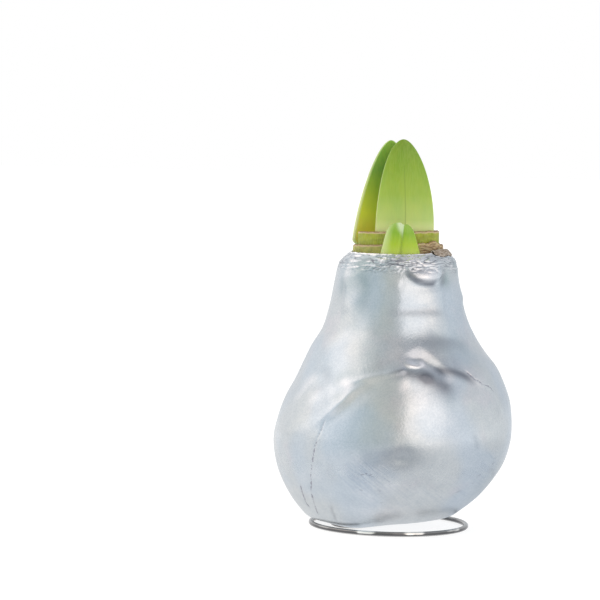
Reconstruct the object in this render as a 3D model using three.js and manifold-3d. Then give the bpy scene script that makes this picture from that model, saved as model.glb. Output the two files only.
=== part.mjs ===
// Waxed amaryllis bulb, in millimetres, +Z up, front towards -Y. The origin is at the bottom
// centre of its bounding box, on the surface that it stands on.
//
// A large flower bulb wears a coat of pearly wax that leaves only its neck open. Two cut leaf
// bases, two tall young leaves and a short side shoot stand in the neck, and a scrap of the dry
// outer skin lies over the wax rim. The bulb sits on a ring of wire that runs inwards in a spiral
// and ends in an upright prong, which holds the bulb from below.

import * as THREE from 'three';
import { mergeVertices } from 'three/addons/utils/BufferGeometryUtils.js';
import Module from 'manifold-3d';

// Driving dimensions
const CLEARANCE = 0.3; // between pieces that touch
const COAT_THICKNESS = 1.6;
const RIM_THICKNESS = 0.6;
const DEPTH_SHARE = 0.96; // the bulb's depth over its width
const WIRE_DIAMETER = 2;
const RING_RADIUS = 30.8; // to the middle of the wire
const RING_X = -0.6;
const PRONG_X = -5.6;
const PRONG_TOP = 22;
const SOCKET_RADIUS = 1.4;
const NECK_X = 0.35; // middle of the leaf bases
const NECK_Y = 2.6;
const ROOT_HEIGHT = 99.5; // where everything that stands in the neck begins
const LEAF_TOP = 154;

// Counts of faces
const TURN_STEPS = 52;
const OUTER_ROWS = 44;
const INNER_ROWS = 16;
const WIRE_SIDES = 8;
const WIRE_STEPS = 96;
const LEAF_ROWS = 12;
const LEAF_COLUMNS = 8;
const STUB_STEPS = 44;
const SHOOT_SIDES = 24;
const SHOOT_ROWS = 10;
const TUNIC_STEPS = 16;

const FULL_TURN = 2 * Math.PI;
const UPRIGHT = new THREE.Vector3(0, 0, 1);
const radians = (degrees) => THREE.MathUtils.degToRad(degrees);
const bell = (distance) => Math.exp(-distance * distance);
const smooth = (value, from, to) => THREE.MathUtils.smoothstep(value, from, to);

// Outline of the wax from the edge of the prong's hole, along the underside and up to the rim.
// Each row pairs a point on the left with one on the right: left x, left z, right x, right z.
const WAX_OUTLINE = [
  [-7.6, 6.0, -3.6, 6.0],
  [-14.5, 3.0, 5.5, 3.9],
  [-24.5, 2.5, 16.0, 4.8],
  [-31.5, 3.0, 23.4, 5.2],
  [-35.7, 6.2, 27.5, 7.4],
  [-41.4, 14.0, 35.8, 14.5],
  [-45.6, 23.5, 43.5, 25.0],
  [-47.2, 33.1, 46.7, 34.5],
  [-46.1, 41.0, 47.2, 43.0],
  [-43.1, 50.4, 46.1, 52.0],
  [-38.9, 58.6, 43.3, 59.6],
  [-35.9, 65.4, 40.5, 65.0],
  [-32.8, 71.9, 35.6, 71.0],
  [-28.6, 79.0, 30.5, 79.0],
  [-26.2, 88.0, 27.0, 88.0],
  [-24.6, 97.0, 25.0, 97.3],
  [-23.3, 103.5, 24.0, 104.0],
  [-21.4, 106.6, 22.9, 107.2],
  [-18.5, 109.1, 20.0, 109.6],
];
const curveThrough = (points) => new THREE.SplineCurve(points.map(([x, z]) => new THREE.Vector2(x, z)));
const LEFT_OUTLINE = curveThrough(WAX_OUTLINE);
const RIGHT_OUTLINE = curveThrough(WAX_OUTLINE.map((row) => row.slice(2)));
const BULB_ROWS = 15; // of the inner rows: the bulb ends just under the rim

// Lower edge of the outer scale, which stands proud of the belly: degrees from the front
// towards the right, and height.
const SCALE_EDGE = [
  [-60, 38], [-42, 49], [-29, 59], [-17, 61.7], [0, 64.5], [12, 68], [22, 68], [42, 64],
  [60, 57.5], [73, 48.5], [88, 38],
];
const SCALE_EDGE_POINTS = curveThrough(SCALE_EDGE).getPoints(60);
const SCALE_STEP = 0.9;
const SCALE_EDGE_WIDTH = 3.4;
const SCALE_FADE = 9; // height over which the step sinks back into the neck
const SCALE_NOSE = { turn: 14, turnSpread: 11, out: 1.3 }; // stands out where the edge is highest
const SCALE_ENDS = { left: [-56, -38], right: [66, 86] }; // turns over which the step grows and fades

// Lumps and dents of the waxed surface: degrees from the front, height above the surface that
// the bulb stands on, half width in degrees, half height in mm, and how far it stands out.
const LUMPS = [
  { turn: 28, height: 101, turnSpread: 12, heightSpread: 2.6, out: 1.1 }, // fold below the rim
  { turn: 27, height: 97, turnSpread: 14, heightSpread: 1.8, out: -0.5 },
  { turn: 20, height: 88, turnSpread: 28, heightSpread: 1.8, out: -0.5 },
  { turn: 45, height: 77, turnSpread: 18, heightSpread: 3.0, out: -0.6 },
  { turn: 21, height: 61, turnSpread: 9, heightSpread: 4.0, out: -1.0 },
  { turn: 6, height: 33, turnSpread: 5, heightSpread: 3.0, out: -0.4 },
  { turn: 160, height: 66, turnSpread: 40, heightSpread: 7.0, out: 0.7 },
  { turn: -150, height: 80, turnSpread: 22, heightSpread: 5.0, out: -0.5 },
];
// The sagging drop of wax under the front left, placed along the outline from 0 to 1
const DRIP = { turn: -22, along: 0.167, turnSpread: 22, alongSpread: 0.05, out: 1.45 };

function scaleEdgeHeight(turn) {
  const degrees = THREE.MathUtils.radToDeg(turn);
  const next = SCALE_EDGE_POINTS.findIndex((point) => point.x >= degrees);
  if (next <= 0) return null;
  const [from, to] = [SCALE_EDGE_POINTS[next - 1], SCALE_EDGE_POINTS[next]];
  return THREE.MathUtils.mapLinear(degrees, from.x, to.x, from.y, to.y);
}

function scaleRelief(turn, height) {
  const edge = scaleEdgeHeight(turn);
  if (edge === null) return 0;
  const degrees = THREE.MathUtils.radToDeg(turn);
  const ends = smooth(degrees, ...SCALE_ENDS.left) * (1 - smooth(degrees, ...SCALE_ENDS.right));
  const nose = SCALE_NOSE.out * bell((degrees - SCALE_NOSE.turn) / SCALE_NOSE.turnSpread);
  const above = height - edge;
  const climb = smooth(above, -SCALE_EDGE_WIDTH / 3, (SCALE_EDGE_WIDTH * 2) / 3);
  return (SCALE_STEP * ends + nose) * climb * Math.exp(-Math.max(above, 0) / SCALE_FADE);
}

// How far the wax stands out from its smooth form
function relief(along, turn, height) {
  const degrees = THREE.MathUtils.radToDeg(turn);
  let out = scaleRelief(turn, height);
  for (const lump of LUMPS) {
    const across = (degrees - lump.turn) / lump.turnSpread;
    out += lump.out * bell(across) * bell((height - lump.height) / lump.heightSpread);
  }
  const across = (degrees - DRIP.turn) / DRIP.turnSpread;
  return out + DRIP.out * bell(across) * bell((along - DRIP.along) / DRIP.alongSpread);
}

function smoothSkin(along, turn) {
  const left = LEFT_OUTLINE.getPoint(along);
  const right = RIGHT_OUTLINE.getPoint(along);
  const reach = (right.x - left.x) / 2;
  return new THREE.Vector3(
    (left.x + right.x) / 2 + reach * Math.sin(turn),
    -DEPTH_SHARE * reach * Math.cos(turn),
    (left.y + right.y) / 2 + ((right.y - left.y) / 2) * Math.sin(turn),
  );
}

// A point of the waxed surface, or of one that lies the inset inside it
function skin(along, turn, inset = 0) {
  const reach = 0.004;
  const point = smoothSkin(along, turn);
  const [below, above] = [Math.max(along - reach, 0), Math.min(along + reach, 1)];
  const upwards = smoothSkin(above, turn).sub(smoothSkin(below, turn));
  const sideways = smoothSkin(along, turn + reach).sub(smoothSkin(along, turn - reach));
  const outwards = sideways.cross(upwards).normalize();
  return point.addScaledVector(outwards, relief(along, turn, point.z) - inset);
}

function loop(steps, place) {
  return Array.from({ length: steps }, (_, k) => place(-Math.PI + (k / steps) * FULL_TURN));
}

// One closed body through loops of points. Its ends meet each other, or are closed by strips
// between opposite points.
function bodyThrough(loops, { endsMeet = false } = {}) {
  const count = loops[0].length;
  const corner = (row, k) => (row % loops.length) * count + (k % count);
  const triangles = [];
  const quad = (a, b, c, d) => triangles.push(a, b, c, a, c, d);
  for (let row = 0; row < loops.length - (endsMeet ? 0 : 1); row++) {
    for (let k = 0; k < count; k++) {
      quad(corner(row, k), corner(row, k + 1), corner(row + 1, k + 1), corner(row + 1, k));
    }
  }
  if (!endsMeet) {
    const last = loops.length - 1;
    for (let k = 0; k < count / 2 - 1; k++) {
      quad(corner(0, count - 1 - k), corner(0, count - 2 - k), corner(0, k + 1), corner(0, k));
      quad(corner(last, k), corner(last, k + 1), corner(last, count - 2 - k), corner(last, count - 1 - k));
    }
  }
  const geometry = new THREE.BufferGeometry().setFromPoints(loops.flat());
  geometry.setIndex(signedVolume(loops.flat(), triangles) < 0 ? triangles.reverse() : triangles);
  geometry.computeVertexNormals();
  return geometry;
}

function signedVolume(points, triangles) {
  let volume = 0;
  for (let k = 0; k < triangles.length; k += 3) {
    const [a, b, c] = [points[triangles[k]], points[triangles[k + 1]], points[triangles[k + 2]]];
    volume += a.dot(b.clone().cross(c)) / 6;
  }
  return volume;
}

function waxCoat() {
  const outer = Array.from({ length: OUTER_ROWS + 1 }, (_, row) => (
    loop(TURN_STEPS, (turn) => skin(row / OUTER_ROWS, turn))));
  const inner = Array.from({ length: INNER_ROWS + 1 }, (_, row) => {
    const along = 1 - row / INNER_ROWS;
    const thickness = THREE.MathUtils.lerp(COAT_THICKNESS, RIM_THICKNESS, smooth(along, 0.93, 1));
    return loop(TURN_STEPS, (turn) => skin(along, turn, thickness));
  });
  return bodyThrough([...outer, ...inner], { endsMeet: true });
}

// Closed inner scales, which fill the neck between the two tall leaves and the cut leaf bases
const CORE = { reachX: 15.3, reachY: 10.9, height: 111.3, crown: 0.8 };

// The bulb fills the coat up to the neck, row by row as the coat's inside. A narrow socket in
// its base takes the prong.
function wholeBulb() {
  const inset = COAT_THICKNESS + CLEARANCE;
  const skinLoops = Array.from({ length: BULB_ROWS + 1 }, (_, row) => (
    loop(TURN_STEPS, (turn) => skin((BULB_ROWS - row) / INNER_ROWS, turn, inset))));
  const socketBottom = skinLoops.at(-1)[0].z + 0.5;
  const socketLoop = (height) => loop(TURN_STEPS, (turn) => new THREE.Vector3(
    PRONG_X + SOCKET_RADIUS * Math.sin(turn),
    -SOCKET_RADIUS * Math.cos(turn),
    height,
  ));
  const ledge = Math.min(...skinLoops[0].map((point) => point.z)) + 0.2;
  const coreLoop = (shrink, height) => loop(TURN_STEPS, (turn) => new THREE.Vector3(
    NECK_X + (CORE.reachX - shrink) * Math.sin(turn),
    NECK_Y - (CORE.reachY - shrink) * Math.cos(turn),
    height,
  ));
  return bodyThrough([
    coreLoop(4 * CORE.crown, CORE.height),
    coreLoop(0, CORE.height - CORE.crown),
    coreLoop(0, ledge),
    ...skinLoops,
    socketLoop(socketBottom),
    socketLoop(PRONG_TOP + CLEARANCE),
  ]);
}

// The middle of the wire lies half a diameter above the surface, and never dips below that.
class WireRoute extends THREE.CatmullRomCurve3 {
  getPoint(share, target) {
    const point = super.getPoint(share, target);
    point.z = Math.max(point.z, WIRE_DIAMETER / 2);
    return point;
  }
}

// Ring, spiral and prong are one wire. Its first end lies at the back left of the ring.
function wireStand() {
  const route = [];
  for (let degrees = 140; degrees <= 460; degrees += 20) {
    const turn = radians(degrees);
    route.push([RING_X + RING_RADIUS * Math.cos(turn), RING_RADIUS * Math.sin(turn), 0]);
  }
  route.push([-12.6, 27.2, 0], [-18.6, 21.2, 0], [-21.8, 12.0, 0], [-22.7, 2.0, 0], [-22.2, -5.0, 0]);
  route.push([-18.8, -10.2, 0], [-13.2, -10.2, 0], [-8.8, -6.2, 0]);
  route.push([-6.4, -2.2, 1.2], [PRONG_X, 0, 4.5], [PRONG_X, 0, 11]);
  route.push([PRONG_X, 0, PRONG_TOP - WIRE_DIAMETER / 2]);
  const points = route.map(([x, y, z]) => new THREE.Vector3(x, y, z + WIRE_DIAMETER / 2));
  const section = new THREE.Shape();
  const corner = WIRE_DIAMETER / 2 / Math.cos(Math.PI / WIRE_SIDES);
  for (let k = 0; k < WIRE_SIDES; k++) {
    const angle = ((k + 0.5) / WIRE_SIDES) * FULL_TURN;
    section[k === 0 ? 'moveTo' : 'lineTo'](corner * Math.cos(angle), corner * Math.sin(angle));
  }
  return new THREE.ExtrudeGeometry(section, {
    steps: WIRE_STEPS,
    extrudePath: new WireRoute(points, false, 'centripetal'),
  });
}

// Tongue-shaped leaf, thick in the middle and bent across like a gutter. The facing is -1 for a
// leaf whose back is turned to the front, and 1 for one that opens towards it.
const FRONT_LEAF = {
  foot: [2.7, -4.2], tip: [2.3, -1.0], halfWidth: 11.6, taper: 0.62, taperFrom: 117,
  bend: 42, turned: 7, facing: -1, bow: -0.9, footShare: 0.97,
};
const BACK_LEAF = {
  foot: [-5.0, 9.2], tip: [-3.2, 2.6], halfWidth: 12.2, taper: 0.77, taperFrom: 113.5,
  bend: 44, turned: 1, facing: 1, bow: 0.8, footShare: 0.885,
};
const LEAF_MIDDLE = 2.2;
const LEAF_MARGIN = 0.8;
const FOOT_FLARE = 2.4; // height over which a leaf widens as it leaves the neck

function leafBlade(leaf, extra = 0) {
  const heights = [ROOT_HEIGHT - extra, leaf.taperFrom - 7];
  for (const below of [1, 0.5, 0]) heights.push(leaf.taperFrom - below * FOOT_FLARE);
  for (let row = 1; row <= LEAF_ROWS; row++) {
    const share = Math.sin(((row - (row === LEAF_ROWS ? 0.4 : 0)) / LEAF_ROWS) * (Math.PI / 2));
    heights.push(THREE.MathUtils.lerp(leaf.taperFrom, LEAF_TOP, share));
  }
  return bodyThrough(heights.map((height) => leafLoop(leaf, height, extra)));
}

function leafLoop(leaf, height, extra) {
  const rise = THREE.MathUtils.clamp((height - leaf.taperFrom) / (LEAF_TOP - leaf.taperFrom), 0, 1);
  const climb = (height - ROOT_HEIGHT) / (LEAF_TOP - ROOT_HEIGHT);
  const flare = smooth(height, leaf.taperFrom - FOOT_FLARE, leaf.taperFrom);
  const footShare = THREE.MathUtils.lerp(leaf.footShare, 1, flare);
  const halfWidth = leaf.halfWidth * footShare * (1 - rise * rise) ** leaf.taper + extra;
  const bend = radians(leaf.bend) * (1 - 0.45 * rise);
  const radius = halfWidth / Math.sin(bend);
  const middle = new THREE.Vector3(
    THREE.MathUtils.lerp(leaf.foot[0], leaf.tip[0], climb),
    THREE.MathUtils.lerp(leaf.foot[1], leaf.tip[1], climb ** 2) + leaf.bow * Math.sin(Math.PI * climb),
    height,
  );
  const side = (across, faceSign) => {
    const angle = across * bend;
    const fleshy = Math.sqrt(1 - across * across) * (1 - 0.45 * rise);
    const thickness = THREE.MathUtils.lerp(LEAF_MARGIN, LEAF_MIDDLE, fleshy) / 2 + extra;
    const gutter = -leaf.facing * radius * (1 - Math.cos(angle));
    const point = new THREE.Vector3(radius * Math.sin(angle), gutter, 0);
    const normal = new THREE.Vector3(Math.sin(angle), leaf.facing * Math.cos(angle), 0);
    point.addScaledVector(normal, faceSign * thickness);
    return point.applyAxisAngle(UPRIGHT, radians(leaf.turned)).add(middle);
  };
  const columns = Array.from({ length: LEAF_COLUMNS + 1 }, (_, k) => -1 + (2 * k) / LEAF_COLUMNS);
  return [
    ...columns.map((across) => side(across, 1)),
    ...columns.toReversed().map((across) => side(across, -1)),
  ];
}

// Cut base of an old leaf: an upright wall that follows an ellipse round the neck
const OUTER_STUB = {
  reachX: 17.95, reachY: 13.5, thickness: 1.1, from: -180, to: 180, top: 112.9, rise: 1.0, torn: 0.5,
};
const INNER_STUB = {
  reachX: 16.1, reachY: 11.7, thickness: 1.4, from: -84, to: 150, top: 117.7, rise: 0.5, torn: 0.12,
};
const STUB_BEVEL = 0.3;

function leafStub(stub, extra = 0) {
  const closed = stub.to - stub.from === 360;
  const overhang = closed ? 0 : extra / stub.reachX;
  const [from, to] = [radians(stub.from) - overhang, radians(stub.to) + overhang];
  const steps = STUB_STEPS + (closed ? 0 : 1);
  const loops = Array.from({ length: steps }, (_, k) => {
    const turn = THREE.MathUtils.lerp(from, to, k / STUB_STEPS);
    const rightShare = smooth(Math.sin(turn), -0.1, 0.7);
    const ragged = stub.torn * Math.sin(5 * turn) * Math.sin(11 * turn + 1) * (0.25 + rightShare);
    const top = stub.top + stub.rise * Math.sin(turn) - (1 - Math.cos(turn)) * 0.2 + ragged + extra;
    const place = (outwards, height) => new THREE.Vector3(
      NECK_X + (stub.reachX + outwards) * Math.sin(turn),
      NECK_Y - (stub.reachY + outwards) * Math.cos(turn),
      height,
    );
    return [
      place(extra, ROOT_HEIGHT - extra),
      place(extra, top - STUB_BEVEL),
      place(-STUB_BEVEL, top),
      place(-stub.thickness + STUB_BEVEL, top - 0.1),
      place(-stub.thickness - extra, top - STUB_BEVEL - 0.1),
      place(-stub.thickness - extra, ROOT_HEIGHT - extra),
    ];
  });
  return bodyThrough(loops, { endsMeet: closed });
}

// Short side shoot of two folded leaves, with a groove down its front
const SHOOT = {
  footX: 1.3, topX: 0.9, y: -14.4, top: 121.6, taperFrom: 108.5,
  footHalfWidth: 8.0, topHalfWidth: 4.4, halfDepth: 3.0,
};

function youngShoot(extra = 0) {
  const heights = [ROOT_HEIGHT - extra];
  for (let row = 0; row <= SHOOT_ROWS; row++) {
    const share = Math.sin(((row - (row === SHOOT_ROWS ? 0.3 : 0)) / SHOOT_ROWS) * (Math.PI / 2));
    heights.push(THREE.MathUtils.lerp(SHOOT.taperFrom, SHOOT.top, share));
  }
  return bodyThrough(heights.map((height) => {
    const rise = THREE.MathUtils.clamp((height - SHOOT.taperFrom) / (SHOOT.top - SHOOT.taperFrom), 0, 1);
    const rounding = (1 - rise ** 6) ** 0.45;
    const middle = THREE.MathUtils.lerp(SHOOT.footX, SHOOT.topX, rise);
    const halfWidth = THREE.MathUtils.lerp(SHOOT.footHalfWidth, SHOOT.topHalfWidth, rise) * rounding + extra;
    const halfDepth = SHOOT.halfDepth * (1 - 0.35 * rise) * rounding + extra;
    return loop(SHOOT_SIDES, (turn) => {
      const [across, forwards] = [Math.sin(turn), Math.cos(turn)];
      const groove = forwards > 0 ? 1 - 0.35 * bell((across - 0.1) / 0.22) : 0.85;
      return new THREE.Vector3(middle + halfWidth * across, SHOOT.y - halfDepth * forwards * groove, height);
    });
  }));
}

// Scrap of the bulb's dry brown skin, caught between the leaf base and the wax and bent over
// the rim
const TUNIC = { from: 38, to: 98, thickness: 0.55, root: -2.4 };

function tunicRemnant() {
  const rim = WAX_OUTLINE.at(-1);
  const [middle, reach] = [(rim[2] + rim[0]) / 2, (rim[2] - rim[0]) / 2];
  return bodyThrough(Array.from({ length: TUNIC_STEPS + 1 }, (_, k) => {
    const share = k / TUNIC_STEPS;
    const turn = radians(THREE.MathUtils.lerp(TUNIC.from, TUNIC.to, share));
    const rimHeight = (rim[1] + rim[3]) / 2 + ((rim[3] - rim[1]) / 2) * Math.sin(turn);
    const place = (outwards, height) => new THREE.Vector3(
      middle + (reach + outwards) * Math.sin(turn),
      -DEPTH_SHARE * (reach + outwards) * Math.cos(turn),
      rimHeight + height,
    );
    const fall = (0.3 + 1.2 * Math.sin(share * Math.PI) ** 0.5) * (1 + 0.3 * Math.sin(9 * turn));
    const crest = 1.5 + 0.7 * share + 0.25 * Math.sin(13 * turn);
    const thick = TUNIC.thickness;
    return [
      place(-0.85 - thick, TUNIC.root),
      place(-0.85 - thick, crest),
      place(-0.6 - thick, crest + 0.3),
      place(0.45, 0.95),
      place(0.5 + fall * 0.9, 0.9 - fall),
      place(0.1 + fall * 0.9, 0.5 - fall),
      place(0.1, 0.45),
      place(-0.85, crest - 0.6),
      place(-0.85, TUNIC.root),
      place(-0.85 - thick / 2, TUNIC.root),
    ];
  }));
}

function toSolid(wasm, geometry) {
  const bare = geometry.clone();
  bare.deleteAttribute('normal');
  bare.deleteAttribute('uv');
  const merged = mergeVertices(bare, 1e-4);
  return new wasm.Manifold(new wasm.Mesh({
    numProp: 3,
    vertProperties: new Float32Array(merged.attributes.position.array),
    triVerts: new Uint32Array(merged.index.array),
  }));
}

function toGeometry(solid) {
  const { vertProperties, triVerts } = solid.getMesh();
  const geometry = new THREE.BufferGeometry();
  geometry.setAttribute('position', new THREE.BufferAttribute(new Float32Array(vertProperties), 3));
  geometry.setIndex([...triVerts]);
  geometry.computeVertexNormals();
  return geometry;
}

// The bulb's neck is cut out round everything that grows from it.
async function bulb() {
  const wasm = await Module();
  wasm.setup();
  const growths = [
    leafStub(OUTER_STUB, CLEARANCE),
    leafStub(INNER_STUB, CLEARANCE),
    leafBlade(FRONT_LEAF, CLEARANCE),
    leafBlade(BACK_LEAF, CLEARANCE),
    youngShoot(CLEARANCE),
  ];
  let solid = toSolid(wasm, wholeBulb());
  for (const growth of growths) solid = solid.subtract(toSolid(wasm, growth));
  return toGeometry(solid);
}

function finish(color, roughness, metalness) {
  return new THREE.MeshStandardMaterial({ color, roughness, metalness });
}

const pieces = [
  ['wax_coat', waxCoat(), finish(0xbcc5cf, 0.35, 0.7)],
  ['bulb', await bulb(), finish(0xe6dfc4, 0.7, 0)],
  ['outer_leaf_stub', leafStub(OUTER_STUB), finish(0x8d7d45, 0.75, 0)],
  ['inner_leaf_stub', leafStub(INNER_STUB), finish(0x96a035, 0.6, 0)],
  ['tall_leaf_front', leafBlade(FRONT_LEAF), finish(0x8db33a, 0.45, 0)],
  ['tall_leaf_back', leafBlade(BACK_LEAF), finish(0x7fa535, 0.45, 0)],
  ['young_shoot', youngShoot(), finish(0x93bc2f, 0.45, 0)],
  ['tunic_remnant', tunicRemnant(), finish(0x8a6f58, 0.85, 0)],
  ['wire_stand', wireStand(), finish(0x9a9a98, 0.25, 1)],
];

const amaryllisBulb = new THREE.Group();
for (const [name, geometry, material] of pieces) {
  const mesh = new THREE.Mesh(geometry, material);
  mesh.name = name;
  amaryllisBulb.add(mesh);
}

export default amaryllisBulb;
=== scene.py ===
"""Looks of the waxed amaryllis bulb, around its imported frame.

The skin of wax, the leaves and the cut leaf bases follow the same named values as the solids, in
millimetres, with finer relief. mesh_object() turns millimetres into metres.
"""

import bpy
import numpy as np
from mathutils import Matrix, Vector, noise
from numpy import clip, cos, linspace, pi, radians, sin


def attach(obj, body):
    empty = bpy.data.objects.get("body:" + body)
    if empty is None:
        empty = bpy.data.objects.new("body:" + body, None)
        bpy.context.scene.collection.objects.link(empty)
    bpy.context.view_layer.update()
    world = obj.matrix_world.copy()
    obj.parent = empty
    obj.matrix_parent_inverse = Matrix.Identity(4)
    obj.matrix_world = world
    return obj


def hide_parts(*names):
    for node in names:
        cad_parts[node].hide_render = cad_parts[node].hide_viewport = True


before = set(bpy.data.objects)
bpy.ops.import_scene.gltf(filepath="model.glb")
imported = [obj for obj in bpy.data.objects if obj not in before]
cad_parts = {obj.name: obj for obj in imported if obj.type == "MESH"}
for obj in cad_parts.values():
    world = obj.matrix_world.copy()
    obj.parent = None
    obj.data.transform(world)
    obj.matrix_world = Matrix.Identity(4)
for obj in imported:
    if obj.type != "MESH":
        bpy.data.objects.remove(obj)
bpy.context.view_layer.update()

MM = 0.001

# ---- driving dimensions, in mm

COAT_THICKNESS = 1.6
RIM_THICKNESS = 0.6
CLEARANCE = 0.3
DEPTH_SHARE = 0.96
WIRE_RADIUS = 1.0
RING_RADIUS = 30.8
RING_X = -0.6
PRONG_X = -5.6
PRONG_TOP = 22.0
NECK = np.array([0.35, 2.6])  # x and y of its middle
ROOT_HEIGHT = 99.5  # of the feet of leaves, leaf bases and shoot

# left x, left z, right x, right z, from the prong's hole along the underside up to the rim
WAX_OUTLINE = np.array([
    [-7.6, 6, -3.6, 6], [-14.5, 3, 5.5, 3.9], [-24.5, 2.5, 16, 4.8], [-31.5, 3, 23.4, 5.2],
    [-35.7, 6.2, 27.5, 7.4], [-41.4, 14, 35.8, 14.5], [-45.6, 23.5, 43.5, 25],
    [-47.2, 33.1, 46.7, 34.5], [-46.1, 41, 47.2, 43], [-43.1, 50.4, 46.1, 52],
    [-38.9, 58.6, 43.3, 59.6], [-35.9, 65.4, 40.5, 65], [-32.8, 71.9, 35.6, 71],
    [-28.6, 79, 30.5, 79], [-26.2, 88, 27, 88], [-24.6, 97, 25, 97.3], [-23.3, 103.5, 24, 104],
    [-21.4, 106.6, 22.9, 107.2], [-18.5, 109.1, 20, 109.6],
])

# Lower edge of the outer scale, which the coat's rows follow closely: degrees from the front
# towards the right, and height
SCALE_EDGE = np.array([
    [-60, 38], [-42, 49], [-29, 59], [-17, 61.7], [0, 64.5], [12, 68], [22, 68], [42, 64],
    [60, 57.5], [73, 48.5], [88, 38],
])

# turn, height, half width in degrees, half height in mm, height of the relief
LUMPS = [
    (28, 101, 12, 2.6, 1.1), (27, 97, 14, 1.8, -0.5), (20, 88, 28, 1.8, -0.5), (45, 77, 18, 3, -0.6),
    (21, 61, 9, 4, -1), (6, 33, 5, 3, -0.4), (160, 66, 40, 7, 0.7), (-150, 80, 22, 5, -0.5),
]
# turn, place along the outline, half width in degrees, half length along the outline, height
DRIP = (-22, 0.167, 22, 0.05, 1.45)


def smooth(value, low, high):
    share = clip((value - low) / (high - low), 0, 1)
    return share * share * (3 - 2 * share)


def bell(distance):
    return np.exp(-distance * distance)


def mix(a, b, share):
    return a + (b - a) * share


def stack(*parts):
    return np.stack(np.broadcast_arrays(*parts), -1)


def unit(vectors):
    return vectors / np.linalg.norm(vectors, axis=-1, keepdims=True)


def spline(points, share):
    """The point at each share, from 0 to 1, of a uniform Catmull-Rom curve through the points."""
    last = len(points) - 1
    place = np.asarray(share, float) * last
    start = clip(np.floor(place).astype(int), 0, last - 1)
    t = (place - start)[..., None]
    before, after = points[np.maximum(start - 1, 0)], points[np.minimum(start + 2, last)]
    a, b = points[start], points[start + 1]
    slope_a, slope_b = (b - before) / 2, (after - a) / 2
    return (
        (2 * a - 2 * b + slope_a + slope_b) * t**3
        + (3 * b - 3 * a - 2 * slope_a - slope_b) * t**2
        + slope_a * t
        + a
    )


def noise_at(points, size, seed=0, stretch=(1, 1, 1)):
    """Smooth noise from about -1 to 1, with features of the given size in mm."""
    flat = points.reshape(-1, 3) / np.multiply(stretch, size) + 17.3 * seed
    values = [noise.noise(Vector(p)) for p in flat]
    return np.array(values).reshape(points.shape[:-1])


# ---- the skin of wax

def scale_edge_height(degrees):
    edge = spline(SCALE_EDGE, linspace(0, 1, 121))
    return np.interp(degrees, edge[:, 0], edge[:, 1])


def skin_ring(place, turn, outwards=0, up=0):
    """Points round the wax at places of its outline, moved outwards and up."""
    left_x, left_z, right_x, right_z = place
    reach = (right_x - left_x) / 2
    return stack(
        (left_x + right_x) / 2 + (reach + outwards) * sin(turn),
        -DEPTH_SHARE * (reach + outwards) * cos(turn),
        (left_z + right_z) / 2 + (right_z - left_z) / 2 * sin(turn) + up,
    )


def smooth_skin(along, turn):
    return skin_ring(np.moveaxis(spline(WAX_OUTLINE, along), -1, 0), turn)


def skin_normal(along, turn):
    step = 0.004
    above, below = np.minimum(along + step, 1), np.maximum(along - step, 0)
    upwards = smooth_skin(above, turn) - smooth_skin(below, turn)
    sideways = smooth_skin(along, turn + step) - smooth_skin(along, turn - step)
    return unit(np.cross(sideways, upwards))


def lumps(degrees, height, places):
    out = 0
    for at, level, spread, rise, swell in places:
        turned = (degrees - at + 180) % 360 - 180
        out = out + swell * bell(turned / spread) * bell((height - level) / rise)
    return out


def drip(along, degrees):
    at, place, spread, reach, swell = DRIP
    return swell * bell((degrees - at) / spread) * bell((along - place) / reach)


def inner_skin(along, turn, inset):
    """The skin's large forms, at some depth under its outside."""
    points = smooth_skin(along, turn)
    degrees = np.degrees(turn)
    out = lumps(degrees, points[..., 2], LUMPS) + drip(along, degrees) - inset
    return points + skin_normal(along, turn) * out[..., None]


# ---- meshes

def add_object(name, data):
    made = bpy.data.objects.new(name, data)
    bpy.context.scene.collection.objects.link(made)
    return made


def mesh_object(name, points, faces, material, uv=None, rest=0):
    """A smooth-shaded object from points in mm.

    uv gives a pair for each corner of the first faces. Corners of the other faces have rest twice.
    """
    mesh = bpy.data.meshes.new(name)
    mesh.from_pydata((np.reshape(points, (-1, 3)) * MM).tolist(), [], faces)
    if uv is not None:
        pairs = np.full((len(mesh.loops), 2), rest, np.float32)
        pairs[:len(uv)] = uv
        mesh.uv_layers.new(name="place").uv.foreach_set("vector", pairs.ravel())
    mesh.shade_smooth()
    mesh.materials.append(material)
    return add_object(name, mesh)


def hold(piece, **measures):
    """Gives a piece numbers for each of its points, which Finish.measure() reads."""
    for name, values in measures.items():
        layer = piece.data.attributes.new(name, "FLOAT", "POINT")
        layer.data.foreach_set("value", np.asarray(values, np.float32).ravel())


def finish_piece(piece, slot, *nodes):
    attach(piece, "root")
    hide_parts(*nodes)


def point_numbers(rows, columns):
    return np.arange(rows * columns).reshape(rows, columns)


def corners(values):
    """What a grid of points has at the four corners of each quad between them."""
    return stack(values[:-1, :-1], values[:-1, 1:], values[1:, 1:], values[1:, :-1])


def grid_faces(rows, columns, rows_meet=False, columns_meet=True):
    """Quads over a grid of points, whose rows and columns may close on themselves."""
    number = point_numbers(rows, columns)
    if rows_meet:
        number = np.append(number, number[:1], 0)
    if columns_meet:
        number = np.append(number, number[:, :1], 1)
    return corners(number).reshape(-1, 4).tolist()


def grid_uv(u, v):
    """u and v for grid_faces(). Both have one more row or column where the grid closes."""
    return stack(corners(u), corners(v)).reshape(-1, 2)


def round_faces(rows, columns):
    """Quads over rows of points round a piece, and a face over the first row and the last."""
    number = point_numbers(rows, columns)
    return grid_faces(rows, columns) + [number[0, ::-1].tolist(), number[-1].tolist()]


def flat_ends(first, last):
    """Quads over both ends of a flat piece, across the ring of points round each end."""
    quads = []
    for ring in (first[::-1], last):
        near, far = ring[:len(ring) // 2], ring[::-1][:len(ring) // 2]
        quads += stack(near[:-1], near[1:], far[1:], far[:-1]).tolist()
    return quads


# ---- materials

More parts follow.
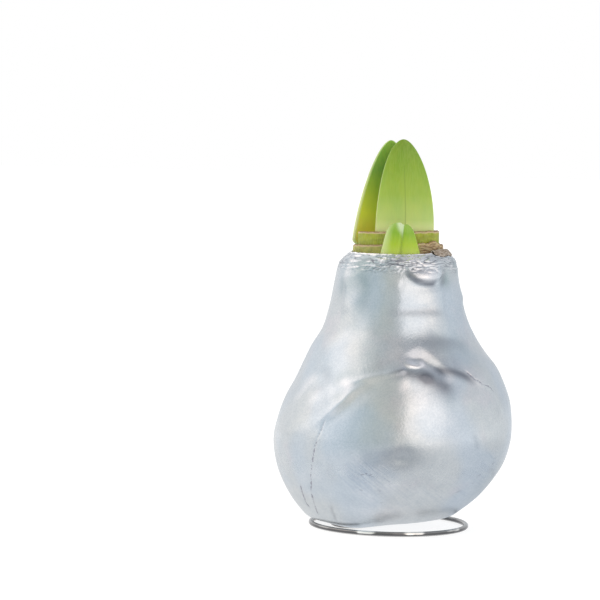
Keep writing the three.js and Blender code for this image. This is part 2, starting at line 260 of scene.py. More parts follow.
class Nodes:
    """Short calls for the nodes of one tree. Colours are sockets or RGB."""

    def __init__(self, tree):
        self.tree = tree

    def feed(self, socket, value):
        if isinstance(value, bpy.types.NodeSocket):
            self.tree.links.new(value, socket)
        else:
            socket.default_value = (*value, 1) if socket.type == "RGBA" else value

    def node(self, kind, inputs, output=0, **settings):
        made = self.tree.nodes.new("ShaderNode" + kind)
        for key, value in settings.items():
            setattr(made, key, value)
        for key, value in inputs.items():
            self.feed(made.inputs[key], value)
        return made.outputs[output]

    def math(self, operation, *values):
        return self.node("Math", dict(enumerate(values)), operation=operation)

    def times(self, *values):
        return self.math("MULTIPLY", *values)

    def apart(self, first, second):
        return self.math("ABSOLUTE", self.math("SUBTRACT", first, second))

    def spread(self, value, low, high, to_low=0, to_high=1):
        """Value from low to high becomes to_low to to_high, with soft ends."""
        inputs = {"Value": value, "From Min": low, "From Max": high, "To Min": to_low, "To Max": to_high}
        return self.node("MapRange", inputs, interpolation_type="SMOOTHSTEP")

    def blend(self, share, first, second, mode="MIX"):
        """The first colour, and a share of the second or, with MULTIPLY, of both multiplied."""
        return self.node("Mix", {0: share, 6: first, 7: second}, 2, data_type="RGBA", blend_type=mode)

    def axes(self, vector):
        self.node("SeparateXYZ", {0: vector})
        return self.tree.nodes[-1].outputs[:]

    def turn(self, x, y):
        """Radians from the front towards the right."""
        return self.math("ARCTAN2", x, self.times(y, -1))

    def length(self, vector):
        return self.node("VectorMath", {0: vector}, "Value", operation="LENGTH")

    def ramp(self, value, stops):
        """A colour between stops, each a place from 0 to 1 and an RGB list."""
        self.node("ValToRGB", {0: value})
        made = self.tree.nodes[-1]
        elements = made.color_ramp.elements
        while len(elements) < len(stops):
            elements.new(1)
        for element, (position, colour) in zip(elements, stops):
            element.position = position
            element.color = (*colour, 1)
        return made.outputs[0]


class Finish(Nodes):
    """One material, whose colour is built up in steps."""

    def __init__(self, name, **constants):
        self.material = bpy.data.materials.new(name)
        self.material.use_nodes = True
        super().__init__(self.material.node_tree)
        self.surface = self.tree.nodes["Principled BSDF"]
        for socket, value in constants.items():
            self.surface.inputs[socket.replace("_", " ")].default_value = value

    def place(self):
        return self.node("TexCoord", {}, "Object")

    def uv(self):
        return self.axes(self.node("UVMap", {}, uv_map="place"))[:2]

    def measure(self, name):
        """A number that the mesh holds for each of its points."""
        return self.node("Attribute", {}, "Fac", attribute_name=name)

    def grain(self, size, detail=2, stretch=(1, 1, 1), seed=0, tilt=0):
        """Noise with features of that size in mm, stretched along X, Y and Z and tilted about Y."""
        place = self.node("VectorRotate", {"Vector": self.place(), "Angle": tilt}, rotation_type="Y_AXIS")
        scale = [1 / (size * MM * share) for share in stretch]
        place = self.node("Mapping", {"Vector": place, "Scale": scale, "Location": (seed, seed, seed)})
        return self.node("TexNoise", {"Vector": place, "Scale": 1, "Detail": detail})

    def paint(self, share, colour):
        self.colour = self.blend(share, self.colour, colour)

    def shade(self, share, colour):
        self.colour = self.blend(share, self.colour, colour, "MULTIPLY")

    def wear(self, socket, value):
        self.feed(self.surface.inputs[socket], value)

    def done(self, height, distance, strength):
        """Wears the colour and bumps of up to a distance in mm, and returns the material."""
        self.wear("Base Color", self.colour)
        inputs = {"Height": height, "Distance": distance * MM, "Strength": strength}
        self.wear("Normal", self.node("Bump", inputs))
        return self.material


# ---- wax coat

WAX_COLUMNS = 520
FRONT_CROWDING = 0.4  # how much closer the columns stand at the front
# Rows of the coat's outside between the places along the outline that wax_rows() gives, and rows
# of its lip and its inside
WAX_ROWS = {"underside": 10, "belly": 48, "edge": 40, "neck": 22, "collar": 52, "lip": 4, "inside": 10}
UNDERSIDE_ENDS = 0.2
EDGE_BAND = (-0.06, 0.055)  # on both sides of the outer scale's edge
COLLAR_STARTS = 0.855
WAX_SIDE = (0.25, 0.9)  # the part of the outline in which the edge is looked for
RIM_THINS = (0.93, 1)  # where the coat thins towards its rim
PALE_RIM_ROWS = 4

SKIN_RADIUS = 42.0  # turns degrees round the bulb into distances over the wax
COURSE_STEPS = 32
# Folds and creases of the wax: course as degrees from the front and height, how far it stands
# out, width on the course's left and right, and shares of the course where it grows and fades
FOLDS = {
    "left_ledge": (
        [(-45, 42.5), (-38, 46.4), (-33, 49.6), (-28.5, 53.2), (-24.5, 57), (-17, 61), (-8, 63.2)],
        1.45, 8, 2.4, (0.4, 0.45)),
    "left_swell": ([(-76, 27), (-64, 35), (-54, 41), (-44, 46), (-36, 51)], 1.1, 8, 6.5, (0.4, 0.5)),
    "middle_line": ([(-30, 59.5), (-17, 62), (-8.5, 63.4), (0, 65), (4, 66.2)], 0.4, 1.6, 1, (0.2, 0.25)),
    "nose_lip": (
        [(2.5, 68.6), (6, 67.6), (10, 67.3), (13.5, 67.9), (16.5, 69.4)], 0.42, 1.5, 0.8, (0.3, 0.3)),
    "nose_valley": (
        [(0, 66.6), (5, 68.2), (10, 69.1), (15, 69), (20.5, 67.5), (26, 65), (32, 61.8), (37, 59.4)],
        -0.85, 2.9, 3.3, (0.4, 0.4)),
    "right_ledge": (
        [(34, 66.8), (42, 65), (46, 62), (51.5, 59.8), (58, 58.2), (67, 49), (76, 41)],
        0.45, 6, 1, (0.2, 0.5)),
    "neck_fold": (
        [(7, 103.6), (12, 101.6), (20, 99.8), (29, 99), (37, 99.8), (43, 101.4), (46, 103)],
        1, 3.2, 0.9, (0.35, 0.3)),
    "neck_line": ([(-14, 97.4), (-4, 97.8), (6, 98.6)], 0.25, 1, 0.6, (0.4, 0.3)),
    "neck_crease": ([(40, 78), (42, 88), (42, 99)], 0.75, 10, 2.8, (0.4, 0.25)),
    "left_neck_fold": ([(-50, 84), (-49, 92), (-52, 101)], 0.9, 3.5, 9, (0.4, 0.2)),
    "back_ledge": (
        [(98, 42), (118, 52), (146, 58), (172, 57), (196, 60), (222, 55), (246, 46)],
        1, 8, 3, (0.25, 0.3)),
    "back_neck_fold": ([(150, 80), (175, 84), (200, 82), (226, 85)], 0.7, 4, 2, (0.3, 0.3)),
    "right_neck_fold": ([(70, 88), (84, 92), (100, 90), (118, 93)], 0.6, 3, 1.6, (0.3, 0.3)),
}
# Splits of the wax, in the same way
CRACKS = {
    "long_crack": (
        [(-33.5, 50), (-35.5, 46), (-37, 42.5), (-39.5, 33), (-42, 25.5), (-45, 17), (-47.5, 10.6),
         (-50, 5.7)], -0.4, 0.3, 0.3, (0.55, 0.03)),
    "short_crack": ([(-53, 19.5), (-54.5, 15), (-55.5, 11), (-54, 8.5)], -0.4, 0.34, 0.34, (0.2, 0.2)),
    "right_crack": (
        [(39, 66.2), (42, 65), (46, 62), (51.5, 59.8), (58, 58.2), (62, 55)],
        -0.35, 0.3, 0.3, (0.3, 0.15)),
    "back_crack": ([(140, 44), (146, 33), (148, 22), (153, 12)], -0.3, 0.45, 0.45, (0.3, 0.1)),
}
# Finer relief, in the same way as LUMPS
FINE_LUMPS = [
    (53, 99.6, 6, 3, -0.5), (-56, 99.5, 8, 3.2, 0.4), (42, 104.8, 12, 3.6, 1.3),
    (4, 31.5, 5, 2.4, -0.35), (21, 61, 9, 4, 0.9),
]

# Where the wax is crumpled, in the same way but with a share from 0 to 1; it gives relief, painted shade
# and painted highlight
CRUMPLED = [
    (-50, 57, 15, 7, 1), (-38, 88, 16, 12, 0.45), (0, 22, 60, 9, 0.25), (120, 70, 40, 20, 0.5),
    (-2, 31, 13, 5, 0.3), (15, 71.5, 10, 3.5, 0.3),
]
# Where strokes of the brush show in the wax, in the same way
BRUSHED = [
    (-12, 25, 15, 7, 1), (25, 17, 35, 6, 0.5), (58, 26, 9, 9, 0.6), (-45, 88, 14, 10, 0.4),
    (150, 30, 60, 14, 0.6),
]

# Shade painted into hollows and grooves of the wax, with a few scratches and marks among it
# Painted shade along courses like the folds', with a share in place of height
SHADE_AND_MARK_COURSES = {
    "under_nose": (
        [(-9, 64), (-3, 64.7), (3, 64.4), (8, 63.6), (12, 63.1), (17, 62.8), (21, 62.7)],
        0.72, 1.7, 2.3, (0.3, 0.3)),
    "nose_shade": (
        [(8, 63.6), (13, 63.3), (17, 62.3), (20.5, 61.1), (24.5, 60.1), (28.5, 58.6), (33, 56.8)],
        0.82, 2.8, 3.5, (0.3, 0.3)),
    "by_nose": (
        [(18, 66.3), (22, 66.2), (26, 65.9), (30, 65.5), (35, 64.7), (40, 63.3), (45, 61.4), (48, 60)],
        0.88, 1.6, 1.9, (0.3, 0.3)),
    "over_nose": (
        [(0, 77.8), (10, 77.5), (20, 77.2), (28, 76.9), (36, 76.6), (44, 76), (54, 74.2), (64, 71)],
        0.42, 1.8, 2.6, (0.4, 0.5)),
    "foot_mark": ([(-31, 12.2), (-33.5, 9.6), (-33, 7.2), (-34, 5.4)], 0.3, 0.9, 0.9, (0.3, 0.1)),
    "high_scratch": ([(40, 42), (42.5, 40), (44, 37), (46.5, 35)], 0.16, 1, 1, (0.3, 0.3)),
    "low_scratch": ([(57, 27), (64, 25.6), (70, 23.6), (76, 22.6)], 0.22, 0.8, 0.8, (0.3, 0.3)),
    "neck_groove": ([(-10, 87), (8, 87.1), (28, 87.6), (46, 87)], 0.42, 1.3, 1.3, (0.35, 0.35)),
    "neck_smile": (
        [(6, 102.5), (12, 101.1), (18, 99.7), (25, 98.5), (31, 98), (39.5, 98.3)],
        0.95, 1.8, 1.1, (0.2, 0.15)),
    "neck_blotch": ([(44, 103), (46, 100.5), (48, 97)], 0.5, 3.2, 3.5, (0.3, 0.3)),
}

# Partly the wax's own uneven tint, partly painted shade where the wax is made to look darker
# Duller, greener tint: turn, height, half width in degrees, half height in mm, share
TINT_AND_SHADE_SPOTS = [
    (-36, 98, 13, 4.5, 0.9), (-31, 92, 9, 7, 0.5), (-35, 81.5, 6, 6, 0.3), (-57, 96.5, 8, 4, 0.6),
    (-34, 105.6, 17, 4, 1.1), (-13, 107.8, 9, 2, 0.5), (-58, 104.5, 14, 3.5, 0.2),
    (76, 104.5, 12, 3.5, 0.55), (33, 74, 11, 5, 0.3), (51, 100, 8, 3.2, 0.95), (-20, 79, 9, 12, 0.25),
    (150, 52, 30, 14, 0.4), (52, 74, 9, 8, 0.25), (28, 53.5, 4, 4, 0.2), (-30, 63.6, 5, 2.4, 0.35),
    (-31.5, 54, 4, 2.4, 0.45), (-35.5, 60.8, 4, 2.6, 0.3), (68, 20, 11, 9, 0.28),
]
# Painted highlights: paler colour where the wax shines, in the same way
PAINTED_HIGHLIGHT_SPOTS = [
    (27, 101.7, 10, 2.3, 0.95), (14, 108.2, 14, 1.9, 0.85), (-54, 101, 5, 3, 0.5),
    (-30.5, 59.8, 3.5, 1.5, 0.55), (-21, 56, 5, 3, 0.4), (-29, 49, 6, 3, 0.3), (-44, 53, 12, 7, 0.22),
    (-1, 72, 6, 5, 0.55), (2.3, 59.7, 3, 2.6, 0.95), (-26, 53.4, 4.5, 2.8, 0.4),
    (-16.5, 61, 6, 1.7, 0.35), (8, 67.3, 5, 0.75, 1.1), (14.5, 68, 2, 1.1, 1), (11, 55, 7, 5, 0.4),
    (7, 69.1, 5, 0.8, 0.4), (18.5, 71.4, 3, 1.2, 0.3), (28.5, 62.4, 3, 1.6, 0.4), (2, 9.5, 20, 3, 0.3),
]
# Colours of the wax where its points hold a measure of that name
# The duller tint is partly painted shade, the darkest colour is painted shade and the pale one painted
# highlight
PIGMENTS = {"tint_and_shade": (0.33, 0.4, 0.42), "painted_shade_and_marks": (0.185, 0.2, 0.235), "pale": (0.86, 0.85, 0.87)}

ROUGHER_TURNS = (75, 120)  # degrees from the front over which the wax grows rougher
CRINKLED_HEIGHTS = (101, 104)  # over which the collar's crinkles set in
# The crinkles' painted shade is darkest at this turn
DARK_CRINKLES = (8, 24)  # turn and half width in degrees of the place where they are darkest


def along_of(degrees, height):
    """Where the outline reaches a height at each turn."""
    places = linspace(*WAX_SIDE, 400)
    levels = smooth_skin(places[:, None], radians(degrees))[..., 2]
    return np.array([np.interp(height[k], levels[:, k], places) for k in range(len(degrees))])


def wax_rows(degrees):
    """The places along the outline of the rows of the coat's outside, at each turn."""
    edge = along_of(degrees, scale_edge_height(degrees))
    low_edge, high_edge = edge + EDGE_BAND[0], edge + EDGE_BAND[1]
    stops = np.broadcast_arrays(0, UNDERSIDE_ENDS, low_edge, high_edge, COLLAR_STARTS, 1)
    rows = []
    for count, low, high in zip(WAX_ROWS.values(), stops, stops[1:]):
        rows += [mix(low, high, k / count) for k in range(count)]
    return np.array(rows + [stops[-1]])


def fold(degrees, height, course, out, left, right, ends):
    """How far a fold along a course lifts each place of the wax."""
    line = spline(np.array(course), linspace(0, 1, COURSE_STEPS))
    middle = line[:, 0].mean()
    turned = middle + (degrees - middle + 180) % 360 - 180
    place = stack(radians(turned) * SKIN_RADIUS, height)
    line[:, 0] = radians(line[:, 0]) * SKIN_RADIUS
    nearest = np.full(height.shape, np.inf)
    aside, share = np.zeros(height.shape), np.zeros(height.shape)
    for k, (start, end) in enumerate(zip(line, line[1:])):
        step, reach = end - start, place - start
        passed = clip(reach @ step / (step @ step), 0, 1)
        distance = np.linalg.norm(reach - passed[..., None] * step, axis=-1)
        closer = distance < nearest
        side = step[0] * reach[..., 1] - step[1] * reach[..., 0]
        nearest = np.where(closer, distance, nearest)
        aside = np.where(closer, np.copysign(distance, side), aside)
        share = np.where(closer, (k + passed) / (len(line) - 1), share)
    grown = smooth(share, 0, ends[0]) * (1 - smooth(share, 1 - ends[1], 1))
    return out * grown * bell(aside / np.where(aside > 0, left, right))


def folds(degrees, height, table):
    return sum(fold(degrees, height, *row) for row in table.values())


def wax_grain(points, degrees):
    """Unevenness of the wax, and shares of painted shade in its valleys and of painted highlight on its
    ridges.
    """
    height = points[..., 2]
    back = smooth(np.abs(degrees), *ROUGHER_TURNS)
    uneven = mix(0.1, 0.3, back) * noise_at(points, 24, 1) + 0.05 * noise_at(points, 8, 2)
    uneven += 0.025 * noise_at(points, 3.5, 14)
    crumpled, crumple = lumps(degrees, height, CRUMPLED), noise_at(points, 6, 12, (1.4, 1.4, 1))
    uneven += 0.55 * crumpled * crumple
    collar = smooth(height, *CRINKLED_HEIGHTS)
    valleys = 1 - np.abs(noise_at(points, 0.95, 3, (3.8, 3.8, 1))) * 3
    crinkles = 0.16 * noise_at(points, 0.6, 4, (1.8, 1.8, 1)) - 0.15 * valleys
    uneven += collar * crinkles
    patchy = clip(0.6 + 1.2 * noise_at(points, 3.5, 9, (2, 2, 1)), 0.15, 1.2)
    patchy *= mix(0.85, 1.8, bell((degrees - DARK_CRINKLES[0]) / DARK_CRINKLES[1]))
    # painted shade in the valleys of the collar's crinkles and of the crumples
    dark = collar * patchy * smooth(valleys, 0.3, 1) + 0.45 * crumpled * smooth(-crumple, 0, 0.7)
    streaks = smooth(noise_at(points, 0.9, 11, (3.8, 3.8, 1)), 0.1, 0.6)
    # painted highlight in the collar's streaks and on the crumpled ridges
    pale = 0.7 * collar * streaks + 0.8 * crumpled * smooth(crumple, 0, 0.6)
    return uneven, dark, pale


def wax_splits(degrees, height):
    """Splits that wander a little from their courses, deeper and shallower by turns."""
    place = stack(radians(degrees) * SKIN_RADIUS, height, 0)
    wander = 0.5 * noise_at(place, 3.5, 5) + 0.3 * noise_at(place, 1, 7)
    turned = degrees + np.degrees(wander / SKIN_RADIUS)
    split = folds(turned, height + 0.6 * wander, CRACKS)
    return split * clip(0.85 + noise_at(place, 1.6, 6), 0.3, 1.3)


def wax_coat():
    share = linspace(-0.5, 0.5, WAX_COLUMNS, endpoint=False)
    turn = 2 * pi * share - FRONT_CROWDING * sin(2 * pi * share)
    degrees = np.degrees(turn)
    along = wax_rows(degrees)
    base = smooth_skin(along, turn)
    normal = skin_normal(along, turn)
    around, height = np.broadcast_arrays(degrees, base[..., 2])
    uneven, dark, pale = wax_grain(base, around)
    out = lumps(around, height, LUMPS + FINE_LUMPS) + drip(along, around) + uneven
    out = out + folds(around, height, FOLDS)
    split = wax_splits(around, height)
    outer = base + normal * (out + split)[..., None]
    half_rim = RIM_THICKNESS / 2
    lip = []
    for angle in linspace(0, pi, WAX_ROWS["lip"] + 1)[1:-1]:
        inset = normal[-1] * half_rim * (1 - cos(angle))
        lip.append(outer[-1] - inset + (0, 0, half_rim * sin(angle)))
    inner = [outer[-1] - normal[-1] * RIM_THICKNESS]
    for place in linspace(1, 0, WAX_ROWS["inside"] + 1)[1:]:
        thickness = mix(COAT_THICKNESS, RIM_THICKNESS, smooth(place, *RIM_THINS))
        inner.append(inner_skin(place, turn, thickness))
    points = np.concatenate([outer, lip, inner])
    faces = grid_faces(len(points), WAX_COLUMNS, rows_meet=True)
    piece = mesh_object("pearl_wax_coat", points, faces, pearl_wax())
    # Shares of a duller tint that is partly painted shade, of painted shade and of painted highlight,
    # beside the splits and the brush strokes
    outside = {
        "split": -split,
        "tint_and_shade": lumps(around, height, TINT_AND_SHADE_SPOTS),
        "painted_shade_and_marks": dark + folds(around, height, SHADE_AND_MARK_COURSES),
        "brushed": lumps(around, height, BRUSHED),
        "pale": pale + lumps(around, height, PAINTED_HIGHLIGHT_SPOTS),
    }
    beyond = ((0, len(points) - len(outer)), (0, 0))
    measures = {name: np.pad(values, beyond) for name, values in outside.items()}
    # The rim's top rows and its lip take the pale colour fully
    measures["pale"][len(outer) - PALE_RIM_ROWS:len(outer) + WAX_ROWS["lip"]] = 1
    hold(piece, **measures)
    finish_piece(piece, "pearl_wax", "wax_coat")


def pearl_wax():
    """Wax full of silvery pigment, with faint clouds of blue and rose, and painted shade and highlights.

    Its brushed places have strokes and dark specks, and its foot and collar are more matt.
    """
    wax = Finish("pearl_wax", Metallic=1)
    cool = wax.spread(wax.grain(26, 1, seed=3.1), 0.4, 0.6)
    wax.colour = wax.blend(cool, (0.55, 0.61, 0.67), (0.59, 0.62, 0.64))
    rose = wax.spread(wax.grain(14, 2, seed=6.4), 0.55, 0.75, 0, 0.4)
    wax.paint(rose, (0.63, 0.6, 0.64))
    # Paints the duller tint, the painted shade and the painted highlights that the mesh's points hold
    for name, pigment in PIGMENTS.items():
        wax.paint(wax.measure(name), pigment)
    cloud = wax.spread(wax.grain(4, 4, seed=8.2), 0.3, 0.7, 0, 0.5)
    wax.shade(cloud, (0.9, 0.92, 0.94))
    mottle = wax.grain(0.8, 3, seed=2.7)
    wax.shade(wax.spread(mottle, 0.35, 0.65, 0, 0.5), (0.86, 0.88, 0.9))
    brushed = wax.measure("brushed")
    strokes = wax.spread(wax.grain(0.7, 2, (12, 12, 1), seed=4.4, tilt=-0.7), 0.42, 0.66, 0, 0.8)
    strokes = wax.times(strokes, brushed)
    wax.shade(strokes, (0.82, 0.85, 0.9))
    depth = wax.spread(wax.grain(0.7, 2, seed=7.3), 0.35, 0.62, 0.25, 1.5)
    split = wax.spread(wax.times(wax.measure("split"), depth), 0.05, 0.3, 0, 0.7)
    wax.paint(split, (0.25, 0.24, 0.3))
    specks = wax.spread(wax.grain(1.5, 1, (1.8, 1.8, 0.7), seed=9.1), 0.67, 0.76, 0, 0.6)
    wax.paint(wax.times(specks, brushed), (0.25, 0.26, 0.31))
    height = wax.axes(wax.place())[2]
    foot, collar = wax.spread(height, 0.01, 0.035, 0.2, 0), wax.spread(height, 0.1, 0.106, 0, 0.08)
    roughness = wax.spread(wax.grain(2.5, 3, seed=5.5), 0.25, 0.75, 0.16, 0.26)
    wax.wear("Roughness", wax.math("ADD", roughness, wax.math("ADD", foot, collar)))
    fine = wax.math("SUBTRACT", mottle, strokes)
    return wax.done(fine, 0.09, 0.42)


# ---- bulb inside the wax

CORE = {"reach": np.array([15.3, 10.9]), "height": 111.3, "sag": 0.6, "edge_drop": 0.8, "innermost": 0.06}
CORE_SCALES, SCALE_STEPS, SCALE_SWELL = 5, 6, 0.35
FLESH_COLUMNS, FLESH_ROWS, FLESH_ENDS = 144, 30, 0.93


def neck_ring(turn, reach, height):
    """Points round the neck, with one reach sideways and another to front and back."""
    return stack(NECK[0] + reach[0] * sin(turn), NECK[1] - reach[1] * cos(turn), height)


def bulb_flesh():
    """The bulb, which shows only as the tops of closed inner scales in the neck."""
    turn = linspace(-pi, pi, FLESH_COLUMNS, endpoint=False)
    inset = COAT_THICKNESS + CLEARANCE
    rows = [inner_skin(place, turn, inset) for place in linspace(0, FLESH_ENDS, FLESH_ROWS)]
    rows.append(neck_ring(turn, CORE["reach"], rows[-1][:, 2].min() + 0.5))
    steps = CORE_SCALES * SCALE_STEPS
    for k in range(steps + 1):
        share = mix(1, CORE["innermost"], k / steps)
        swell = SCALE_SWELL * (cos(2 * pi * k / SCALE_STEPS) - 1)
        height = CORE["height"] + swell - CORE["sag"] * (1 - share)
        rows.append(neck_ring(turn, CORE["reach"] * share, height - (CORE["edge_drop"] if k == 0 else 0)))
    faces = round_faces(len(rows), FLESH_COLUMNS)
    finish_piece(mesh_object("bulb_flesh", rows, faces, bulb_scales()), "bulb_scales", "bulb")


def bulb_scales():
    flesh = Finish("bulb_scales", Roughness=0.5, Subsurface_Weight=0.2, Subsurface_Scale=0.003)
    streaks = flesh.spread(flesh.grain(1, 3, (1, 1, 6)), 0.35, 0.7)
    flesh.colour = flesh.blend(streaks, (0.72, 0.7, 0.42), (0.5, 0.5, 0.2))
    return flesh.done(streaks, 0.1, 0.5)


# ---- leaves

FRONT_LEAF = {
    "foot": (2.7, -4.2), "tip": (1.35, -1), "sway": 1.1, "half_width": 11.6, "taper": (2, 0.56),
    "taper_from": 117, "bend": 42, "turned": 7, "facing": -1, "bow": -0.9, "foot_share": 0.97,
    "top": 154,
}
BACK_LEAF = {
    "foot": (-6, 9.2), "tip": (-3.5, 2.6), "sway": 0, "half_width": 12.6, "taper": (1.4, 0.57),
    "taper_from": 113.5, "bend": 44, "turned": 1, "facing": 1, "bow": 0.8, "foot_share": 0.86,
    "top": 153.5,
}
LEAF_MIDDLE, LEAF_MARGIN = 2.2, 0.8  # thickness
LEAF_FLATTENS = 0.45  # share of its bend and of its thickness that a leaf loses up to the tip
LEAF_ROUNDED = 0.94  # share of the half width beyond which the margin is rounded off
FOOT_FLARE = 2.4
LEAF_ROWS, LEAF_COLUMNS = 90, 48
LEAF_VEINS = 26


def climbing_rows(start, top, rows, foot_rows, climbed):
    """Heights from the root to start, and on to just under the top, closer and closer."""
    climb = sin(linspace(0, 1, rows) * climbed * pi / 2)
    foot = linspace(ROOT_HEIGHT, start, foot_rows)[:-1]
    return np.concatenate([foot, mix(start, top, climb)])[:, None]


def leaf_blade(name, leaf, material, node):
    start, top = leaf["taper_from"], leaf["top"]
    heights = climbing_rows(start, top, LEAF_ROWS, foot_rows=18, climbed=0.985)
    across = sin(linspace(-1, 1, LEAF_COLUMNS + 1) * pi / 2)
    rise = clip((heights - start) / (top - start), 0, 1)
    share = (heights - ROOT_HEIGHT) / (top - ROOT_HEIGHT)
    flare = mix(leaf["foot_share"], 1, smooth(heights, start - FOOT_FLARE, start))
    power, root = leaf["taper"]
    half_width = leaf["half_width"] * flare * (1 - rise**power) ** root
    flattened = 1 - LEAF_FLATTENS * rise
    bend = radians(leaf["bend"]) * flattened
    radius = half_width / sin(bend)
    arch = sin(pi * share)
    middle_x = mix(leaf["foot"][0], leaf["tip"][0], share) + leaf["sway"] * arch
    middle_y = mix(leaf["foot"][1], leaf["tip"][1], share**2) + leaf["bow"] * arch
    angle = across * bend
    fleshy = np.sqrt(1 - across**2) * flattened
    outermost = ((np.abs(across) - LEAF_ROUNDED) / (1 - LEAF_ROUNDED)).clip(0)
    edge = np.sqrt(1 - outermost**2)
    thickness = mix(LEAF_MARGIN, LEAF_MIDDLE, fleshy) / 2 * mix(0.15, 1, edge)
    turned = radians(leaf["turned"])

    def side(face):
        reach = radius + face * thickness
        x = reach * sin(angle)
        y = leaf["facing"] * (reach * cos(angle) - radius)
        return stack(
            middle_x + x * cos(turned) - y * sin(turned),
            middle_y + x * sin(turned) + y * cos(turned),
            heights,
        )

    points = np.append(side(1), side(-1)[:, ::-1], 1)
    number = point_numbers(*points.shape[:2])
    faces = grid_faces(*number.shape) + flat_ends(number[0], number[-1])
    u = np.concatenate([across, across[::-1], across[:1]]) / 2 + 0.5
    uv = grid_uv(*np.broadcast_arrays(u, share))
    piece = mesh_object(name, points, faces, material, uv)
    hold(piece, inner=number % number.shape[1] >= number.shape[1] // 2)
    finish_piece(piece, "leaf", node)


def leaf_skin(name, outer_stops, inner_stops, glow, midrib, pale_from):
    """Fleshy leaf: colours up the blade, faint veins along it, pale margins and a dark midrib."""
    leaf = Finish(name, Roughness=0.45, Subsurface_Weight=0.12, Subsurface_Scale=0.004,
                  Subsurface_Radius=(0.4, 1, 0.15))
    across, up = leaf.uv()
    # The inner face has colours of its own; on the back leaf they are brighter, as painted light where it
    # lies in shade
    leaf.colour = leaf.blend(leaf.measure("inner"), leaf.ramp(up, outer_stops), leaf.ramp(up, inner_stops))
    patches = leaf.spread(leaf.grain(6, 2, (1, 1, 2)), 0.35, 0.65)
    leaf.shade(patches, (0.88, 0.95, 1))
    veins = leaf.math("SINE", leaf.times(across, 2 * pi * LEAF_VEINS))
    fibres = leaf.spread(leaf.grain(0.5, 2, (1, 1, 14)), 0.3, 0.7)
    leaf.paint(leaf.spread(fibres, 0, 1, 0, 0.1), glow)
    aside = leaf.apart(across, 0.5)
    margin = leaf.times(leaf.spread(aside, pale_from, 0.494), leaf.spread(up, 0.35, 0.95, 1, 0.45))
    leaf.paint(margin, (0.74, 0.8, 0.4))
    lean = leaf.math("ADD", 0.492, leaf.times(up, -0.02))
    rib = leaf.spread(leaf.apart(across, lean), 0.003, 0.012, midrib, 0)
    rib = leaf.times(rib, leaf.spread(up, 0.72, 0.88, 1, 0))
    leaf.paint(rib, (0.16, 0.26, 0.03))
    height = leaf.math("ADD", leaf.times(veins, 0.2), fibres)
    return leaf.done(height, 0.05, 0.16)


# Colours up each leaf, as places from 0 to 1 and RGB
LEAF_GREENS = [
    (0, (0.8, 0.82, 0.36)), (0.34, (0.76, 0.8, 0.32)), (0.42, (0.5, 0.62, 0.16)),
    (0.6, (0.34, 0.48, 0.05)), (0.8, (0.25, 0.39, 0.016)), (1, (0.17, 0.29, 0.008)),
]
# The back leaf's inner face: yellower, and brighter as painted light where it lies in shade behind the
# front leaf
LEAF_INNER_PAINTED_LIGHT = [
    (0, (0.85, 0.76, 0.3)), (0.32, (0.85, 0.74, 0.1)), (0.46, (0.74, 0.76, 0.06)),
    (0.62, (0.42, 0.56, 0.05)), (0.78, (0.2, 0.38, 0.05)), (1, (0.25, 0.44, 0.04)),
]


def tall_leaves():
    front = leaf_skin("leaf_front", LEAF_GREENS, LEAF_GREENS, (0.5, 0.62, 0.16), 0.45, 0.475)
    back = leaf_skin("leaf_back", LEAF_GREENS, LEAF_INNER_PAINTED_LIGHT, (0.6, 0.62, 0.08), 0, 0.44)
    leaf_blade("leaf_front", FRONT_LEAF, front, "tall_leaf_front")
    leaf_blade("leaf_back", BACK_LEAF, back, "tall_leaf_back")


# ---- cut leaf bases

OUTER_STUB = {
    "reach": (17.95, 13.5), "thickness": 1.1, "from": -180, "to": 180, "top": 112.9, "rise": 1,
    "torn": 0.5, "slump": 1.5,
}
INNER_STUB = {
    "reach": (16.1, 11.7), "thickness": 1.4, "from": -84, "to": 150, "top": 117.7, "rise": 0.5,
    "torn": 0.12, "slump": 0,
}
STUB_STEPS = 420
STUB_NOISE_RADIUS = 40


def leaf_stub(name, stub, material, slot, node, seed):
    closed = stub["to"] - stub["from"] == 360
    turn = radians(linspace(stub["from"], stub["to"], STUB_STEPS, endpoint=not closed))
    right = smooth(sin(turn), -0.1, 0.7)
    ragged = stub["torn"] * sin(5 * turn) * sin(11 * turn + 1) * (0.25 + right)
    rim = STUB_NOISE_RADIUS * stack(sin(turn), cos(turn), 0)
    ragged = ragged + stub["torn"] * (0.15 + 0.45 * right) * noise_at(rim, 2, seed)
    top = stub["top"] + stub["rise"] * sin(turn) - (1 - cos(turn)) * 0.2 + ragged
    top = top - stub["slump"] * smooth(sin(turn), 0.86, 1)
    waves = 0.1 * noise_at(rim, 5, seed + 1)
    depth, thick = top - ROOT_HEIGHT, stub["thickness"]
    # How far outwards, and how far below the top, from the outer foot over the cut to the inner
    section = [(0, share * depth) for share in (1, *linspace(0.9, 0.05, 14))]
    section += [(-0.05, 0.25), (-0.3, 0), (-thick / 2, -0.12), (0.3 - thick, 0.1), (0.05 - thick, 0.4)]
    section += [(-thick, share * depth) for share in linspace(0.06, 1, 8)]
    grid = np.array([
        neck_ring(turn, [reach + outwards + waves for reach in stub["reach"]], top - drop)
        for outwards, drop in section
    ])
    below = np.array([drop + 0 * turn for _, drop in section + section[:1]])
    around = np.broadcast_to(np.degrees(turn) / 360, below.shape)
    if closed:
        below = np.append(below, below[:, :1], 1)
        around = np.append(around, around[:, :1] + 1, 1)
    number = point_numbers(*grid.shape[:2])
    faces = grid_faces(*number.shape, rows_meet=True, columns_meet=closed)
    if not closed:
        faces += flat_ends(number[:, -1], number[:, 0])
    finish_piece(mesh_object(name, grid, faces, material, grid_uv(around, below / 10)), slot, node)


